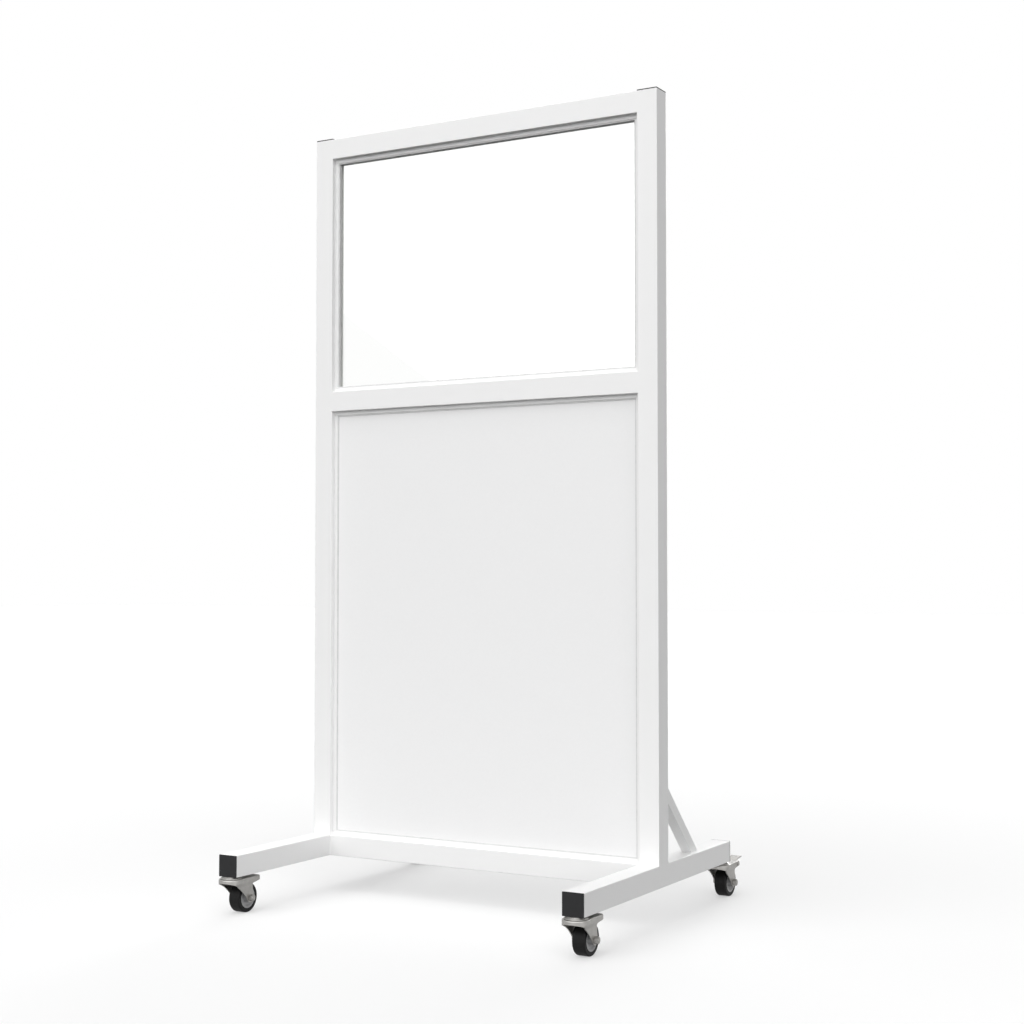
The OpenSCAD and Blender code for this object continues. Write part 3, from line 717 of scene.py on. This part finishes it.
for (end, side), axle in axles.items():
    verts, faces = joined([(*lathe(shank, 40, closed=False), axle),
                           (*chamfered_hex(nut_flats, bolt_head_h), axle @ head_seat)])
    add_piece(f"{end}_{side}_hex_axle_bolt", verts, faces, zinc, f"{end}_{side}_swivel",
              f"{end}_{side}_axle_bolt")
    verts, faces = joined([(*chamfered_hex(nut_flats, nut_h, axle_r, True), axle @ nut_seat)])
    add_piece(f"{end}_{side}_hex_axle_nut", verts, faces, zinc, f"{end}_{side}_swivel",
              f"{end}_{side}_axle_nut")


# Hubs: grey moulded polypropylene with a boss, a web and a rim, bored for the steel bush.

hub_plastic = moulded_finish("grey_hub_plastic", (0.34, 0.34, 0.345), (0.28, 0.40), 1600)
bush_r, boss_r, hub_r, rim_t = 7.05 * MM, 10 * MM, 25 * MM, 3 * MM
boss_half, wheel_half, recess = 20 * MM, 15 * MM, 6 * MM
rim_r = hub_r - rim_t
hub_outline = []
for way in (-1, 1):
    half = [(bush_r, boss_half, 0.3 * MM), (boss_r, boss_half, 0.8 * MM),
            (boss_r + 0.8 * MM, wheel_half - recess, 1.2 * MM),
            (rim_r - 3 * MM, wheel_half - recess, 2.5 * MM), (rim_r, wheel_half, 0.6 * MM),
            (hub_r, wheel_half, 0.4 * MM)]
    half = [(r, way * h, rounding) for r, h, rounding in half]
    hub_outline += half if way < 0 else reversed(half)
hub = lathe(filleted(hub_outline, 3), 72)
for (end, side), axle in axles.items():
    verts, faces = joined([(*hub, axle)])
    add_piece(f"{end}_{side}_moulded_hub", verts, faces, hub_plastic, f"{end}_{side}_wheel",
              f"{end}_{side}_hub")


# Tyres: black rubber moulded round the hub, with a flat tread, round shoulders and the thin
# parting line that the mould leaves.

# Black rubber, a little greyer and rougher where dust has settled
black_rubber = uneven_finish(
    "black_tyre_rubber", ((0.004, 0.004, 0.004), (0.010, 0.010, 0.010)), roughness=(0.45, 0.62),
    patches=(35, 6), grain=(1400, 2), relief=(0.2, 0.2 * MM), Specular_IOR_Level=0.15)
wheel_r, shoulder_r = 35 * MM, 3 * MM
line_half, line_depth = 0.35 * MM, 0.15 * MM     # the parting line
tyre_outline = filleted([(hub_r, -wheel_half, 0), (wheel_r, -wheel_half, shoulder_r),
                         (wheel_r, -line_half, 0), (wheel_r - line_depth, 0, 0),
                         (wheel_r, line_half, 0), (wheel_r, wheel_half, shoulder_r),
                         (hub_r, wheel_half, 0)], 8)
tyre = lathe(tyre_outline, 96)
for (end, side), axle in axles.items():
    verts, faces = joined([(*tyre, axle)])
    add_piece(f"{end}_{side}_rubber_tyre", verts, faces, black_rubber, f"{end}_{side}_wheel",
              f"{end}_{side}_tyre")


# Brake pedals and their pins: a bent steel plate with a rolled barrel and a cam lobe, hung
# on a riveted pin between the skirts of each rear fork, all zinc plated.

for side in ("left", "right"):
    dress(f"rear_{side}_pedal_pin", zinc, 0.3 * MM)
    dress(f"rear_{side}_brake_pedal", zinc, 0.5 * MM)


# The studio: a wide pale floor in a white room, one wide softbox in front, weaker lamps
# overhead, at the right and behind, and the camera where the photographer stood.

def seen_directly(nodes, links):
    """One for what the camera, a reflection or glass sees, and nought for other light."""
    path = nodes.new("ShaderNodeLightPath")
    seen = path.outputs["Is Camera Ray"]
    for ray in ("Is Glossy Ray", "Is Transmission Ray"):
        either = nodes.new("ShaderNodeMath")
        either.operation = "MAXIMUM"
        links.new(seen, either.inputs[0])
        links.new(path.outputs[ray], either.inputs[1])
        seen = either.outputs["Value"]
    return seen


floor_half = 30
floor_mesh = bpy.data.meshes.new("studio_floor")
floor_mesh.from_pydata([(-floor_half, -floor_half, 0), (floor_half, -floor_half, 0),
                        (floor_half, floor_half, 0), (-floor_half, floor_half, 0)],
                       [], [(0, 1, 2, 3)])
floor_paint = bpy.data.materials.new("pale_studio_floor")
floor_paint.use_nodes = True
nodes, links = floor_paint.node_tree.nodes, floor_paint.node_tree.links
paint = set_inputs(nodes["Principled BSDF"], Roughness=1, Specular_IOR_Level=0,
                   Emission_Color=(1, 1, 1, 1))
place = nodes.new("ShaderNodeNewGeometry")
distance = nodes.new("ShaderNodeVectorMath")
distance.operation = "LENGTH"
links.new(place.outputs["Position"], distance.inputs[0])

# Away from the barrier the floor throws little light back at it and is seen as white; near it the
# seen colour is lower, a painted shade that makes the floor round the barrier a little darker
bounced_shade = set_inputs(nodes.new("ShaderNodeMapRange"), From_Min=0.6, From_Max=1.3,
                           To_Min=0.24, To_Max=0.04)
# Painted shade: the floor's seen colour is lower near the barrier, rising to white further off
painted_floor_shade = set_inputs(nodes.new("ShaderNodeMapRange"), From_Min=1.2, From_Max=3,
                        To_Min=0.485, To_Max=0.53)
shade = nodes.new("ShaderNodeMix")
shade.data_type = "RGBA"
for socket, reached in (("A", bounced_shade), ("B", painted_floor_shade)):
    links.new(distance.outputs["Value"], reached.inputs["Value"])
    links.new(reached.outputs["Result"], shade.inputs[socket])
glow = nodes.new("ShaderNodeMath")
glow.operation = "MULTIPLY"
glow.inputs[1].default_value = 0.42
seen = seen_directly(nodes, links)
links.new(seen, shade.inputs["Factor"])
links.new(seen, glow.inputs[0])
links.new(glow.outputs["Value"], paint.inputs["Emission Strength"])
links.new(shade.outputs["Result"], paint.inputs["Base Color"])
floor_mesh.materials.append(floor_paint)
add_object("studio_floor", floor_mesh)

# The room gives a quarter of white as light, and is seen as white
world = bpy.data.worlds.new("white_room")
bpy.context.scene.world = world
world.use_nodes = True
nodes, links = world.node_tree.nodes, world.node_tree.links
light = set_inputs(nodes["Background"], Color=(1, 1, 1, 1), Strength=0.25)
white = set_inputs(nodes.new("ShaderNodeBackground"), Color=(1, 1, 1, 1), Strength=1)
room = nodes.new("ShaderNodeMixShader")
links.new(seen_directly(nodes, links), room.inputs["Fac"])
links.new(light.outputs["Background"], room.inputs[1])
links.new(white.outputs["Background"], room.inputs[2])
links.new(room.outputs["Shader"], nodes["World Output"].inputs["Surface"])


def lamp(name, strength, softness, toward):
    """A soft lamp far away in the direction given, softness degrees across."""
    data = bpy.data.lights.new(name, "SUN")
    data.energy = strength
    data.angle = math.radians(softness)
    add_object(name, data).rotation_euler = Vector(toward).to_track_quat("Z", "Y").to_euler()


lamp("overhead_lamp", 0.12, 12, (0, 0, 1))
lamp("front_softbox", 3.14, 95, (0.04, -0.74, 0.67))
lamp("right_lamp", 0.56, 30, (0.94, -0.30, 0.12))
lamp("back_left_lamp", 0.45, 40, (-0.32, 0.56, 0.76))
lamp("back_lamp", 1.50, 20, (-0.14, 0.98, 0.15))

lens = bpy.data.cameras.new("photo_camera")
lens.sensor_width = 36
lens.sensor_fit = "HORIZONTAL"
lens.lens = 58.27
camera = add_object("photo_camera", lens)
camera.location = (2.0735, -3.4964, 0.7969)
camera.rotation_euler = (math.radians(92.187), 0, math.radians(29.924))
bpy.context.scene.camera = camera
bpy.context.scene.view_settings.view_transform = "Standard"
